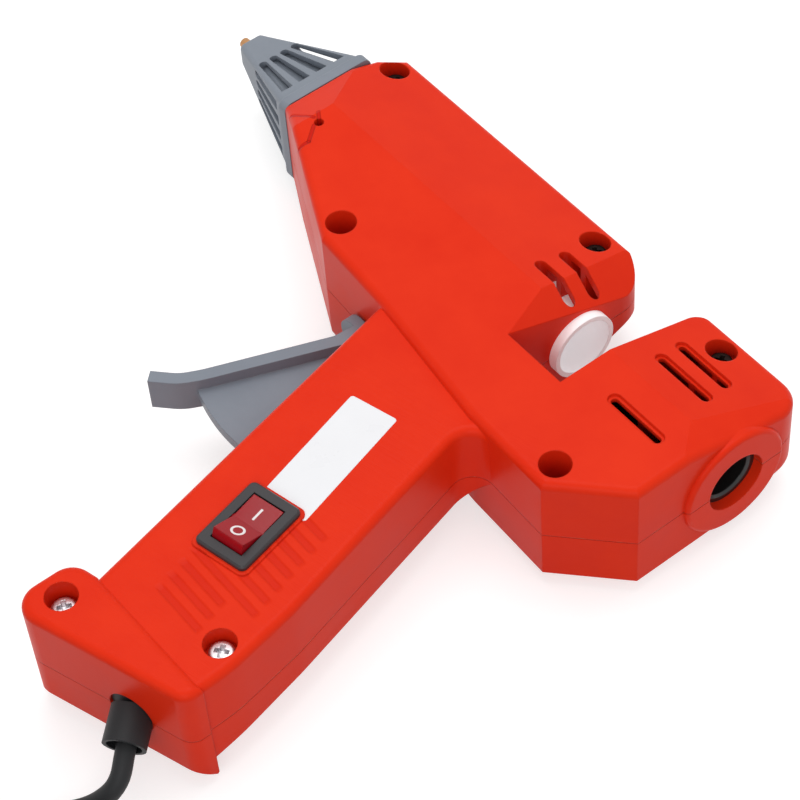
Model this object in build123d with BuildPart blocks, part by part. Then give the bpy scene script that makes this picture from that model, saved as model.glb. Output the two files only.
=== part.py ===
"""Hot-melt glue gun of pistol form, lying on its right side.

Frame in millimetres: +X runs from the nozzle to the rear port, +Y from the foot of the grip to
the top of the case, +Z out of the left side. The origin is under the middle of the gun, on the
surface that it lies on, and the two case halves part on the plane Z = half_thick.
"""

from build123d import *

import os
from math import cos, pi, radians, sin, tan

# ---------------------------------------------------------------- driving dimensions
# Case
half_thick = 19.5          # from the parting plane to either side panel
wall = 2.2                 # case wall
grip_drop = 2.0            # the grip's face below the side panel
foot_drop = 1.0            # the foot's face below the side panel
left_round = 2.2           # outer edges of the left half
right_round = 3.4          # outer edges of the right half
front_x = -59.8            # case face that the nozzle guard sits on
rear_x = 99.0              # rear wall
top_y = 90.0               # top wall
crease_y = 60.0            # above this line the sides slope inwards
side_slope = 17.0          # degrees, the sloped sides
front_crease_x = -48.0
front_slope = 23.0         # degrees, the bevel towards the nozzle
rear_slope = 21.0          # degrees, the bevel round the rear port
rear_top_round = 8.0
right_body_bevel = 4.5     # bevels of the right half, at 45 degrees: round the rear,
right_grip_bevel = 9.5     # down the back of the grip
right_foot_bevel = 6.0     # and under the foot
chin = (-12.5, 29.4)       # corner between the sloping front and the belly
grip_front_top = (13.2, 27.6)
grip_rear_top = (55.4, 22.2)
rear_low = (82.5, 21.3)
rear_corner = (99.0, 36.8)
grip_front_foot = (36.2, -70.9)
grip_rear_mid = (72.3, -42.0)
grip_rear_low = (76.0, -62.0)
foot_top_front = (28.8, -72.9)
foot_low_front = (28.8, -92.08)
foot_low_rear = (77.2, -75.3)
grip_rear_inner_round = 6.0
foot_round = 6.0
foot_rear_round = 4.4

# Notch across the top that bares the stick
notch_front_x = 42.5
notch_rear_x = 62.0
notch_floor_y = 44.5
notch_front_round = 9.0
notch_rear_round = 5.0

# Stick path
axis_y = 66.5              # height of the glue stick's axis
port_bore_r = 6.4          # bore of the guide tube, for an 11 mm stick
stick_bore_r = 5.75        # bore of the melt chamber
guide_r = 8.3              # outside of the guide tube
guide_span = (60.5, 97.5)
rear_boss_r = 15.4
rear_boss_out = 1.4        # the rear boss beyond the rear wall
rear_boss_round = 1.2
seat_fit = 0.05            # radial clearance of parts that are held still
slide_fit = 0.08           # radial clearance of sliding parts

# Nozzle end
tip_x = -100.0
guard_nose_x = -96.6
guard_flange_half = 14.3
guard_flange_thick = 3.4
guard_base_half = 13.4
guard_nose_half = 3.7
guard_slots = 4            # blind slots in each face
guard_slot_rear_x = -66.5
guard_slot_front_x = -82.5
guard_slot_pitch = 5.7     # at the rear ends
guard_slot_half = (1.75, 1.15)   # half widths at the rear and front ends
guard_slot_deep = (3.3, 1.9)
guard_bore_r = (7.6, 2.6)  # conical bore, at the flange and at the nose
guard_neck_r = 10.7
guard_lip_r = 12.2
nozzle_hex = 14.0          # across flats
nozzle_tip_r = 1.5
nozzle_hole_r = 0.75
chamber_r = 9.5
chamber_span = (-50.0, -9.0)
spigot_r = 7.4             # rear spigot of the melt chamber
front_collar_x = -49.5
front_collar_long = 5.0
collar_r = 12.5
collar_groove_r = 11.5
inlet_collar_x = -12.0
inlet_collar_long = 5.5
inlet_r = 11.5
inlet_groove_r = 10.45

# Trigger
pivot = (10.5, 35.0)
trigger_swing = 20.0       # degrees from rest to fully squeezed
fan_r = 53.3               # edge of the web, about the pivot
lever_wide = 10.0
lever_thick = 3.4
web_thick = 3.2
slot_clear = 0.5           # each side of the web in the case slot
hub_r = 4.6
fork_inner = 10.6          # faces of the fork, from the parting plane
fork_outer = 13.0
pivot_pin_r = 2.0
pivot_pin_long = 32.0
pin_fit = 0.05             # radial clearance on pins
trunnion_r = 2.0
spring_wire = 0.8
spring_mean_r = 3.9
spring_boss_r = 3.3

# Feed sleeve
sleeve_r = 9.3
sleeve_wall = 1.3
sleeve_span = (8.5, 45.0)  # at rest

# Screws
screw_spots = [(-53.4, 83.9), (-13.1, 36.1), (28.2, 84.2), (75.0, 84.2), (80.0, 27.8)]
foot_screw_spots = [(36.2, -80.6), (69.1, -60.1)]
recess_r = 4.0
screw_head_r = 3.2
screw_head_high = 2.3
screw_shank_r = 1.45
screw_bottom_z = 6.5
body_seat_up = 6.0         # screw seats above the parting plane, in the body
foot_seat_up = 12.2        # and in the foot

# Pivots of the wire stand
stand_spot = (-44.9, 53.0)
stand_r = 1.3
stand_boss_r = 3.2
stand_deep = 7.5

# Rocker switch
bezel_long = 21.0
bezel_wide = 15.0
bezel_proud = 1.4
bezel_open_long = 15.5
bezel_open_wide = 9.5
bezel_centre = (47.7, -36.7)
switch_long = 18.8         # switch body below the bezel
switch_wide = 12.8
switch_deep = 13.0
pad_rise = 0.5             # raised pad round the bezel
pad_margin = 0.9           # pad beyond each side of the bezel
grip_rake = 13.2           # degrees, the switch's tilt with the grip
rocker_swing = 20.0        # degrees between its two positions
rocker_r = 7.5             # ends of the rocker, about its shaft
rocker_drop = 1.5          # the rocker's shaft below the bezel's face

# Mains cord
cord_r = 2.4
cord_hole_r = 6.0
cord_exit = (60.4, -80.2)
relief_r = 5.2
relief_way = (0.617, -0.746, -0.252)
cord_route = [
    (55.0, -66.0, 20.0), (58.0, -77.0, 20.0), (66.3, -87.0, 17.0), (70.5, -92.0, 12.5),
    (68.5, -98.0, 7.4), (63.0, -104.0, 3.2), (55.0, -116.0, 2.4), (50.2, -131.0, 2.4),
    (50.2, -145.0, 2.4),
]
tail_route = [
    (50.2, -145.0, 16.8), (50.2, -158.0, 15.4), (47.5, -172.0, 11.4), (42.0, -184.0, 8.0),
    (35.5, -193.0, 6.5),
]
coil_centre = (80.0, -145.0)
coil_turn_r = (20.2, 29.8)  # middles of the innermost and outermost turns
coil_turns = 2             # in each layer
coil_layers = 4
plug_high = 13.0
plug_pin_r = 2.0
plug_pin_long = 19.0
plug_pin_gap = 19.0        # between the middles of the pins

parting_z = half_thick
parting = Plane.XY.offset(parting_z)
top_z = 2 * half_thick
half_swing = radians(trigger_swing / 2)
arm = axis_y - pivot[1]                      # trigger pivot to stick axis
trunnion_x = pivot[0] + arm * tan(half_swing)
feed_travel = 2 * arm * tan(half_swing)
bezel_top_z = top_z - grip_drop + pad_rise + bezel_proud

os.makedirs("parts", exist_ok=True)


def save(name, builder):
    """Label one finished piece and write it as a STEP file."""
    builder.part.label = name
    export_step(builder.part, f"parts/{name}.step")


def rod(plane, radius, length):
    """Plain round bar that starts on a plane and runs along its normal."""
    with BuildPart(mode=Mode.PRIVATE) as bar:
        with BuildSketch(plane):
            Circle(radius)
        extrude(amount=length)
    return bar.part


def along_stick(x, radius, length):
    """Round bar on the stick's axis, from x towards the rear."""
    return rod(Plane(origin=(x, axis_y, parting_z), x_dir=(0, 1, 0), z_dir=(1, 0, 0)), radius, length)


def upright(spot, z, radius, height):
    """Round bar square to the parting plane, standing at z over a spot."""
    return rod(Plane(origin=(spot[0], spot[1], z)), radius, height)


def block(x_span, y_span, z_span):
    """Box from its three spans."""
    middle = ((x_span[0] + x_span[1]) / 2, (y_span[0] + y_span[1]) / 2, z_span[0])
    with BuildPart(mode=Mode.PRIVATE) as body:
        with BuildSketch(Plane(origin=middle)):
            Rectangle(x_span[1] - x_span[0], y_span[1] - y_span[0])
        extrude(amount=z_span[1] - z_span[0])
    return body.part


def prism(plane, points, amount, both=False):
    """Straight-sided solid from a closed outline on a plane."""
    with BuildPart(mode=Mode.PRIVATE) as body:
        with BuildSketch(plane):
            with BuildLine():
                Polyline(*points, close=True)
            make_face()
        extrude(amount=amount, both=both)
    return body.part


# ---------------------------------------------------------------- case forms
body_points = [
    (front_x, 52.4), chin, grip_front_top, grip_rear_top, rear_low, rear_corner,
    (rear_x, top_y), (front_x + 3.8, top_y), (front_x, 82.0),
]
grip_points = [
    (grip_front_top[0] - 3, 40), grip_front_top, grip_front_foot, (grip_front_foot[0], -80),
    (72, -76), (76.2, -71.6), grip_rear_low, grip_rear_mid, grip_rear_top, (70, 21.8), (70, 40),
]
foot_points = [
    foot_top_front, foot_low_front, foot_low_rear, (76.9, -70.2), (grip_front_foot[0], -70.9),
]


def bevel_plane(start, end, height):
    """Plane at 45 degrees that takes the edge off the wall between two points of an outline."""
    along = (Vector(*end) - Vector(*start)).normalized()
    return Plane(origin=(start[0], start[1], parting_z + height), z_dir=(along.Y, -along.X, 1))


body_bevels = [bevel_plane(start, end, half_thick - right_body_bevel)
               for start, end in ((grip_rear_top, rear_low), (rear_low, rear_corner), (rear_corner, (rear_x, top_y)))]
grip_bevels = [bevel_plane(grip_rear_mid, grip_rear_top, half_thick - grip_drop - right_grip_bevel)]
foot_bevels = [bevel_plane(foot_low_front, foot_low_rear, half_thick - foot_drop - right_foot_bevel)]


def lump(points, height, inset, rounding, corners, bevels):
    """Flat-topped lump of the case on the parting plane, its upper edge rounded or bevelled."""
    with BuildPart(mode=Mode.PRIVATE) as solid:
        with BuildSketch(parting) as plan:
            with BuildLine():
                Polyline(*points, close=True)
            make_face()
            for spot, radius in corners:
                corner = plan.vertices().sort_by_distance(Vector(*spot, parting_z))[0]
                fillet(corner, radius)
            if inset:
                offset(amount=-inset, kind=Kind.INTERSECTION)
        extrude(amount=height - inset)
        if rounding:
            fillet(solid.faces().sort_by(Axis.Z)[-1].edges(), rounding)
        for plane in bevels:
            split(bisect_by=plane.offset(-inset), keep=Keep.BOTTOM)
    return solid.part


def facet_plane(origin, lean, angle):
    """Plane through a point of the side panel that falls away in one direction."""
    slope = radians(angle)
    return Plane(origin=(origin[0], origin[1], top_z),
                 z_dir=(lean[0] * sin(slope), lean[1] * sin(slope), cos(slope)))


facets = [
    (facet_plane((0, crease_y), (0, 1), side_slope),
     [(front_x, 82.0), (front_x + 3.8, top_y), (rear_x, top_y), (rear_x, -200), (front_x, -200)]),
    (facet_plane((front_crease_x, 0), (-1, 0), front_slope),
     [(front_x, 52.4), chin, (chin[0], -200), (200, -200), (200, top_y),
      (front_x + 3.8, top_y), (front_x, 82.0)]),
    (facet_plane((97.1, 52.5), (0.76, 0.65), rear_slope),
     [(rear_x, top_y), rear_corner, rear_low, (rear_low[0], -200), (-200, -200), (-200, top_y)]),
]
notch_bevel = Plane(origin=(notch_front_x, notch_floor_y, top_z), z_dir=(0.681, 0.262, 0.683))


def facet_block(plane, points, rounding):
    """Tall block under one sloping facet, with the facet's outer edges rounded."""
    with BuildPart(mode=Mode.PRIVATE) as solid:
        with BuildSketch(parting) as plan:
            with BuildLine():
                Polyline(*points, close=True)
            make_face()
            corner = plan.vertices().sort_by_distance(Vector(rear_x, top_y, parting_z))[0]
            if (corner.X, corner.Y) == (rear_x, top_y):
                fillet(corner, rear_top_round)
        extrude(amount=400)
        split(bisect_by=plane, keep=Keep.BOTTOM)
        roof = [f for f in solid.faces() if abs(f.normal_at().dot(plane.z_dir)) > 0.999]
        fillet(roof[0].edges(), rounding)
    return solid.part


def notch_space(inset):
    """Space of the notch across the top, grown into the case by the inset."""
    beside = block((10, notch_front_x), (notch_floor_y - 30, top_y + 20), (parting_z + 2, 4 * top_z))
    with BuildPart(mode=Mode.PRIVATE) as wedge:
        add(beside)
        split(bisect_by=notch_bevel.offset(-inset), keep=Keep.TOP)
    with BuildPart(mode=Mode.PRIVATE) as space:
        with BuildSketch() as plan:
            with BuildLine():
                Polyline((notch_front_x, notch_floor_y), (notch_rear_x, notch_floor_y),
                         (notch_rear_x, top_y), (notch_rear_x + 30, top_y),
                         (notch_rear_x + 30, top_y + 20), (notch_front_x - 30, top_y + 20),
                         (notch_front_x - 30, top_y), (notch_front_x, top_y), close=True)
            make_face()
            for x, radius in ((notch_front_x, notch_front_round), (notch_rear_x, notch_rear_round)):
                fillet(plan.vertices().sort_by_distance(Vector(x, top_y))[0], radius)
            if inset:
                offset(amount=inset, kind=Kind.INTERSECTION)
        extrude(amount=3 * top_z)
        add(wedge.part)
    return space.part


def half_form(inset, rounding, bevelled):
    """One half of the case without its hollow, standing on the parting plane."""
    body = lump(body_points, half_thick, inset, rounding, [((rear_x, top_y), rear_top_round)],
                body_bevels if bevelled else [])
    grip = lump(grip_points, half_thick - grip_drop, inset, rounding,
                [(grip_rear_top, grip_rear_inner_round), (grip_rear_mid, 40), (grip_rear_low, 40)],
                grip_bevels if bevelled else [])
    foot = lump(foot_points, half_thick - foot_drop, inset, min(rounding, left_round),
                [(foot_top_front, foot_round), (foot_low_front, foot_round),
                 (foot_low_rear, foot_rear_round)], foot_bevels if bevelled else [])
    rounded_blocks = [facet_block(plane, points, rounding) for plane, points in facets if rounding]
    notch = notch_space(inset)
    with BuildPart(mode=Mode.PRIVATE) as form:
        add(body)
        for tall in rounded_blocks:
            add(tall, mode=Mode.INTERSECT)
        if not rounding:
            for plane, _ in facets:
                split(bisect_by=plane.offset(-inset), keep=Keep.BOTTOM)
        add(grip)
        add(foot)
        add(notch, mode=Mode.SUBTRACT)
    return form.part


def cross_rib(x, thick, low_y, bore_r):
    """Bearing rib across the case, square to the stick's axis, with its bore."""
    plate = block((x, x + thick), (low_y, top_y), (parting_z, top_z))
    bore = along_stick(x - 1, bore_r, thick + 2)
    with BuildPart(mode=Mode.PRIVATE) as rib:
        add(plate)
        add(bore, mode=Mode.SUBTRACT)
    return rib.part


bearing_ribs = [
    (front_collar_x + 1, 3.0, 40, collar_groove_r + seat_fit),
    (inlet_collar_x + 1.5, 2.0, 54, inlet_groove_r + seat_fit),
    (27.5, 2.0, 52, sleeve_r + slide_fit),
    (33.0, 2.0, 52, sleeve_r + slide_fit),
    (79.0, 2.0, 54, guide_r + seat_fit),
]
end_bores = [
    (front_x - 5, guard_neck_r + seat_fit, 10),
    (notch_front_x - 6, sleeve_r + slide_fit, 8),
    (notch_rear_x - 2, guide_r + seat_fit, 8),
    (rear_x - 8, guide_r + seat_fit, 20),
]
rear_vents = [((77.0, 76.5), 18.4), ((78.2, 69.0), 18.8), ((81.9, 50.8), 18.6)]
front_vents = [((34.5, 65.8), 13.6), ((34.5, 73.6), 13.6)]
vent_rim = 0.9             # depth of the wider rim of the rear vents
cord_hole_plane = Plane(origin=(cord_exit[0], cord_exit[1], parting_z), z_dir=(-0.29, 0.957, 0))
switch_plane = Plane(origin=(bezel_centre[0], bezel_centre[1], bezel_top_z),
                     x_dir=(-sin(radians(grip_rake)), cos(radians(grip_rake)), 0))


def vent(spot, long, wide, low_z, above=None):
    """Round-ended slot cut down through a side, kept above a plane where one is given."""
    with BuildPart(mode=Mode.PRIVATE) as slot:
        with BuildSketch(Plane(origin=(spot[0], spot[1], low_z))):
            SlotOverall(long, wide)
        extrude(amount=half_thick)
        if above:
            split(bisect_by=above, keep=Keep.TOP)
    return slot.part


port_rod = along_stick(rear_x - wall - 2, rear_boss_r, wall + 2 + rear_boss_out)
with BuildPart(mode=Mode.PRIVATE) as port_cup:
    add(port_rod)
    fillet(port_cup.edges().sort_by(Axis.X)[-1], rear_boss_round)
port_boss = port_cup.part


def case_half(rounding, near):
    """One hollow half of the case, standing on the parting plane."""
    outer = half_form(0, rounding, not near)
    inner = half_form(wall, 0, not near)
    screw_places = screw_spots + foot_screw_spots
    columns = [upright(spot, parting_z, 5.6 if near else 3.7, half_thick) for spot in screw_places]
    ribs = [cross_rib(*rib) for rib in bearing_ribs]
    boss = upright(pivot, parting_z + fork_outer + 0.3, 4.5 if near else spring_boss_r, 8)
    stand_boss = upright(stand_spot, top_z - stand_deep - 1.0, stand_boss_r, 12)
    boss_bore = upright(pivot, parting_z, pivot_pin_r + pin_fit, pivot_pin_long / 2)
    cuts = [along_stick(*bore) for bore in end_bores]
    cuts.append(upright(stand_spot, top_z - stand_deep, stand_r, 12))
    for spot in screw_places:
        if near:
            seat_up = foot_seat_up if spot in foot_screw_spots else body_seat_up
            cuts.append(upright(spot, parting_z - 1, screw_shank_r + 0.25, half_thick))
            cuts.append(upright(spot, parting_z + seat_up, recess_r, half_thick))
        else:
            cuts.append(upright(spot, parting_z - 1, screw_shank_r + seat_fit, 15))
    cuts.append(prism(parting, [(3, 20), (3, 33), (18, 33), (31, -20.5), (10, -20.5)],
                      web_thick / 2 + slot_clear, both=True))
    cuts.append(rod(cord_hole_plane.offset(-6), cord_hole_r, 14))
    cuts += [vent(spot, long, 3.4, parting_z + 7) for spot, long in front_vents]
    for spot, long in rear_vents:
        panel = facets[0][0] if spot[1] > crease_y else Plane.XY.offset(top_z)
        cuts.append(vent(spot, long, 3.6, parting_z + 10, panel.offset(-vent_rim)))
        cuts.append(vent(spot, long - 1.6, 2.0, parting_z + 10))
    lip_room = along_stick(front_x + wall, guard_lip_r + 0.2, 3.4)
    above = block((-200, 200), (-200, 200), (parting_z, 200))
    with BuildPart(mode=Mode.PRIVATE) as hollow:
        add(inner)
        add(columns + ribs + [boss, stand_boss], mode=Mode.SUBTRACT)
        add(boss_bore)
        add(lip_room)
    with BuildPart(mode=Mode.PRIVATE) as half:
        add(port_boss)
        add(above, mode=Mode.INTERSECT)
        add(outer)
        if near:
            with BuildSketch(switch_plane.offset(-bezel_proud - pad_rise - 1)):
                RectangleRounded(bezel_long + 2 * pad_margin, bezel_wide + 2 * pad_margin, 2)
            extrude(amount=1 + pad_rise)
        add([hollow.part] + cuts, mode=Mode.SUBTRACT)
        if near:
            with BuildSketch(switch_plane):
                Rectangle(switch_long + 0.2, switch_wide + 0.2)
            extrude(amount=-switch_deep, mode=Mode.SUBTRACT)
    return half.part


# ---------------------------------------------------------------- case
left_half = case_half(left_round, near=True)
right_half = case_half(right_round, near=False)

with BuildPart() as left_shell:
    add(left_half)
save("left_shell", left_shell)

with BuildPart() as right_shell:
    mirror(right_half, about=parting)
save("right_shell", right_shell)

with BuildPart() as case_screws:
    for spot in screw_spots + foot_screw_spots:
        seat_z = parting_z + (foot_seat_up if spot in foot_screw_spots else body_seat_up)
        with BuildSketch(Plane(origin=(spot[0], spot[1], screw_bottom_z))):
            Circle(screw_shank_r)
        extrude(amount=seat_z - screw_bottom_z)
        with BuildSketch(Plane(origin=(spot[0], spot[1], seat_z))):
            Circle(screw_head_r)
        extrude(amount=screw_head_high)
save("case_screws", case_screws)

# ---------------------------------------------------------------- nozzle end
nose_plane = Plane(origin=(0, axis_y, parting_z), x_dir=(0, 1, 0), z_dir=(-1, 0, 0))
flange_front_x = front_x - guard_flange_thick


def half_width(x):
    """Half the width of the guard's cage at x."""
    share = (x - guard_nose_x) / (flange_front_x - guard_nose_x)
    return guard_nose_half + (guard_base_half - guard_nose_half) * share


def guard_pyramid(ends):
    """Square pyramid on the stick's axis through two stations of position and half width."""
    with BuildPart(mode=Mode.PRIVATE) as pyramid:
        for x, half in ends:
            with BuildSketch(nose_plane.offset(-x)):
                RectangleRounded(2 * half, 2 * half, 1.6)
        loft()
    return pyramid.part


def guard_slot_set():
    """Slots of one face of the guard, open upwards, tapering towards the nose."""
    rear_half, front_half = guard_slot_half
    spread = half_width(guard_slot_front_x) / half_width(guard_slot_rear_x)
    with BuildPart(mode=Mode.PRIVATE) as slots:
        with BuildSketch(Plane(origin=(0, axis_y, parting_z))):
            for number in range(guard_slots):
                middle = guard_slot_pitch * (number - (guard_slots - 1) / 2)
                with BuildLine():
                    Polyline((guard_slot_rear_x, middle - rear_half), (guard_slot_rear_x, middle + rear_half),
                             (guard_slot_front_x, middle * spread + front_half),
                             (guard_slot_front_x, middle * spread - front_half), close=True)
                make_face()
                with Locations((guard_slot_front_x, middle * spread)):
                    Circle(front_half)
        extrude(amount=20)
    return slots.part


guard_cage = guard_pyramid([(x, half_width(x)) for x in (flange_front_x, guard_nose_x)])
guard_core = guard_pyramid([(guard_slot_rear_x + 6, half_width(guard_slot_rear_x + 6) - guard_slot_deep[0]),
                            (guard_slot_front_x - 6, half_width(guard_slot_front_x - 6) - guard_slot_deep[1])])
slot_set = guard_slot_set()
slot_turns = [slot_set.rotate(Axis((0, axis_y, parting_z), (1, 0, 0)), 90 * face) for face in range(4)]

with BuildPart(mode=Mode.PRIVATE) as guard_slots_cut:
    add(slot_turns[0])
    for turned in slot_turns[1:]:
        add(turned)
    add(guard_core, mode=Mode.SUBTRACT)

with BuildPart() as nozzle_guard:
    add(guard_cage)
    nose_rim = nozzle_guard.faces().sort_by(Axis.X)[0].edges()
    fillet(nose_rim, 1.2)
    with BuildSketch(nose_plane.offset(-front_x)):
        RectangleRounded(2 * guard_flange_half, 2 * guard_flange_half, 2.5)
    extrude(amount=guard_flange_thick)
    flange_rim = [e for e in nozzle_guard.edges() if abs(e.center().X - flange_front_x) < 0.01
                  and max(abs(e.center().Y - axis_y), abs(e.center().Z - parting_z)) > guard_base_half + 0.2]
    fillet(flange_rim, 0.8)
    with BuildSketch(nose_plane.offset(-front_x)):
        Circle(guard_neck_r)
    extrude(amount=-2.7)
    with BuildSketch(nose_plane.offset(-front_x - 2.7)):
        Circle(guard_lip_r)
    extrude(amount=-2.5)
    add(guard_slots_cut.part, mode=Mode.SUBTRACT)
    with BuildSketch(nose_plane.offset(-flange_front_x + 1.0)):
        Circle(9.0)
    extrude(amount=-14, mode=Mode.SUBTRACT)
    for x, radius in zip((flange_front_x, guard_nose_x - 1), guard_bore_r):
        with BuildSketch(nose_plane.offset(-x)):
            Circle(radius)
    loft(mode=Mode.SUBTRACT)
save("nozzle_guard", nozzle_guard)

with BuildPart() as nozzle:
    with BuildSketch(Plane(origin=(0, axis_y, parting_z), x_dir=(1, 0, 0), z_dir=(0, 0, 1))):
        with BuildLine():
            Polyline((tip_x, nozzle_hole_r), (tip_x, nozzle_tip_r), (tip_x + 2.0, nozzle_tip_r + 0.1), (-54.0, 7.0),
                     (-50.0, 7.0), (-50.0, 5.0), (-43.0, 5.0), (-43.0, 2.4), (-56.0, 2.4), (-92.0, nozzle_hole_r),
                     close=True)
        make_face()
    revolve(axis=Axis((0, axis_y, parting_z), (1, 0, 0)))
    with BuildSketch(nose_plane.offset(50.0)):
        RegularPolygon(nozzle_hex / 2, 6, major_radius=False)
        Circle(4.0, mode=Mode.SUBTRACT)
    extrude(amount=4.0)
save("nozzle", nozzle)

heater_box = block((-41, -13), (46.8, 62), (parting_z - 8, parting_z + 8))
heater_seat = block((-39.2, -14.8), (48.8, 54.4), (parting_z - 9, parting_z + 9))

with BuildPart() as melt_chamber:
    with BuildSketch(nose_plane.offset(-chamber_span[0])):
        Circle(chamber_r)
    extrude(amount=chamber_span[0] - inlet_collar_x)
    with BuildSketch(nose_plane.offset(-inlet_collar_x)):
        Circle(spigot_r)
    extrude(amount=inlet_collar_x - chamber_span[1])
    add(heater_box)
    with BuildSketch(nose_plane.offset(-chamber_span[1])):
        Circle(stick_bore_r)
    extrude(amount=33, mode=Mode.SUBTRACT)
    with BuildSketch(nose_plane.offset(-chamber_span[0])):
        Circle(5.05)
    extrude(amount=-9, mode=Mode.SUBTRACT)
    add(heater_seat, mode=Mode.SUBTRACT)
save("melt_chamber", melt_chamber)

with BuildPart() as heater:
    with BuildSketch(Plane(origin=(-27, 52.2, parting_z - 6.5))):
        Rectangle(24, 4.2)
    extrude(amount=13)
save("heater", heater)

with BuildPart() as heater_spring:
    with BuildSketch(Plane(origin=(0, 0, parting_z - 5.5))):
        with BuildLine():
            Polyline((-38, 48.85), (-31, 49.6), (-23, 49.6), (-16, 48.85), (-16, 49.25), (-22.8, 50.0),
                     (-31.2, 50.0), (-38, 49.25), close=True)
        make_face()
    extrude(amount=11)
save("heater_spring", heater_spring)


def grooved_ring(x, long, out_r, groove_r, groove_x, groove_long, bores):
    """Silicone ring on the stick's axis with one groove that sits on a case rib."""
    ring = along_stick(x, out_r, long)
    groove = along_stick(groove_x, out_r + 1, groove_long)
    core = along_stick(groove_x, groove_r, groove_long)
    holes = [along_stick(*bore) for bore in bores]
    with BuildPart(mode=Mode.PRIVATE) as body:
        add(ring)
        add(groove, mode=Mode.SUBTRACT)
        add(core)
        for hole in holes:
            add(hole, mode=Mode.SUBTRACT)
    return body.part


front_ring = grooved_ring(front_collar_x, front_collar_long, collar_r, collar_groove_r,
                          front_collar_x + 1, 3.0, [(front_collar_x - 1, chamber_r + seat_fit, 8)])
inlet_ring = grooved_ring(inlet_collar_x, inlet_collar_long, inlet_r, inlet_groove_r,
                          inlet_collar_x + 1.5, 2.0,
                          [(inlet_collar_x - 1, spigot_r + seat_fit, 4), (inlet_collar_x, 5.85, 8)])

with BuildPart() as front_collar:
    add(front_ring)
save("front_collar", front_collar)

with BuildPart() as inlet_collar:
    add(inlet_ring)
save("inlet_collar", inlet_collar)

# ---------------------------------------------------------------- stick path
with BuildPart() as guide_tube:
    with BuildSketch(nose_plane.offset(-guide_span[0])):
        Circle(guide_r)
        Circle(port_bore_r, mode=Mode.SUBTRACT)
    extrude(amount=guide_span[0] - guide_span[1])
    chamfer(guide_tube.edges().filter_by(GeomType.CIRCLE).sort_by(Axis.X)[-2:].sort_by(SortBy.RADIUS)[0], 0.6)
save("guide_tube", guide_tube)

with BuildPart() as feed_sleeve:
    with BuildSketch(nose_plane.offset(-sleeve_span[0])):
        Circle(sleeve_r)
    extrude(amount=sleeve_span[0] - sleeve_span[1])
    with BuildSketch(nose_plane.offset(-sleeve_span[0] - 2.0)):
        Circle(sleeve_r - sleeve_wall)
    extrude(amount=-50, mode=Mode.SUBTRACT)
    for side in (1, -1):
        with BuildSketch(Plane(origin=(trunnion_x, axis_y, parting_z + side * (sleeve_r - 0.8)))):
            Circle(trunnion_r)
        extrude(amount=side * (fork_outer + 0.6 - sleeve_r + 0.8))
    with BuildSketch(nose_plane.offset(-sleeve_span[0] + 1)):
        Circle(6.2)
    extrude(amount=-6, mode=Mode.SUBTRACT)
save("feed_sleeve", feed_sleeve)

with BuildPart() as grip_ring:
    with BuildSketch(nose_plane.offset(-sleeve_span[0] - 2.1)):
        Circle(sleeve_r - sleeve_wall - 0.1)
        Circle(5.7, mode=Mode.SUBTRACT)
    extrude(amount=-0.6)
save("grip_ring", grip_ring)

# ---------------------------------------------------------------- trigger
lever_front = [(5.6, 20.2), (-7.6, -12.6), (-10.2, -17.6), (-15.6, -22.6)]
lever_bends = (30.0, 12.0)
web_points = [
    (8.0, 26.0), (7.2, 33.5), (13.8, 33.0), (27.6, -19.0), (0, -60), (-30, -40), (-9.0, -18.5),
    (-5.5, -13.0), (7.0, 21.0),
]
fork_lean = trigger_swing / 2


def fork_point(across, up):
    """Point of the fork, across and up from the pivot along its lean."""
    lean = radians(fork_lean)
    return (pivot[0] + across * cos(lean) + up * sin(lean),
            pivot[1] - across * sin(lean) + up * cos(lean))


web_slab = prism(parting, web_points, web_thick / 2, both=True)
web_disc = upright(pivot, parting_z - web_thick, fan_r, 2 * web_thick)
fork_gap = block((-60, 80), (pivot[1] + hub_r - 1.5, 90), (parting_z - fork_inner, parting_z + fork_inner))

fork = [(-4.0, 0), (-4.0, 38), (-2.1, 38), (-2.1, 29), (2.1, 29), (2.1, 38), (4.0, 38), (4.0, 0)]
fork_slab = prism(Plane.XY.offset(parting_z - fork_outer), [fork_point(*spot) for spot in fork],
                  2 * fork_outer)
hub = upright(pivot, parting_z - fork_outer, hub_r, 2 * fork_outer)
hub_bore = upright(pivot, parting_z - 20, pivot_pin_r + pin_fit, 40)
web_keep = block((-60, 80), (-90, 40), (parting_z - web_thick / 2, parting_z + web_thick / 2))

with BuildPart() as fork_part:
    add(fork_slab)
    add(fork_gap, mode=Mode.SUBTRACT)
    add(hub)

with BuildPart() as trigger:
    add(web_slab)
    add(web_disc, mode=Mode.INTERSECT)
    with BuildSketch(parting):
        with BuildLine():
            front = FilletPolyline(*lever_front, radius=lever_bends)
            offset(front, amount=lever_thick, side=Side.LEFT)
        make_face()
    extrude(amount=lever_wide / 2, both=True)
    with BuildSketch(Plane(origin=(0, 24.5, parting_z), x_dir=(1, 0, 0), z_dir=(0, -1, 0))):
        with Locations((5.0, 0)):
            Circle(lever_wide / 2)
        with Locations((8.0, 0)):
            Rectangle(6.0, lever_wide)
        with Locations((16.0, 0)):
            Rectangle(14.0, 30.0, mode=Mode.SUBTRACT)
    extrude(amount=-3.0)
    with BuildSketch(parting):
        with BuildLine():
            Polyline((5.05, 18.6), (5.6, 24.8), (9.0, 24.8), (9.0, 18.6), close=True)
        make_face()
    extrude(amount=lever_wide / 2, both=True)
    add(fork_part.part)
    add(hub_bore, mode=Mode.SUBTRACT)
save("trigger", trigger)

with BuildPart() as pivot_pin:
    with BuildSketch(Plane(origin=(pivot[0], pivot[1], parting_z - pivot_pin_long / 2 + 0.2))):
        Circle(pivot_pin_r)
    extrude(amount=pivot_pin_long - 0.4)
    chamfer(pivot_pin.edges().filter_by(GeomType.CIRCLE), 0.3)
save("pivot_pin", pivot_pin)

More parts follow.
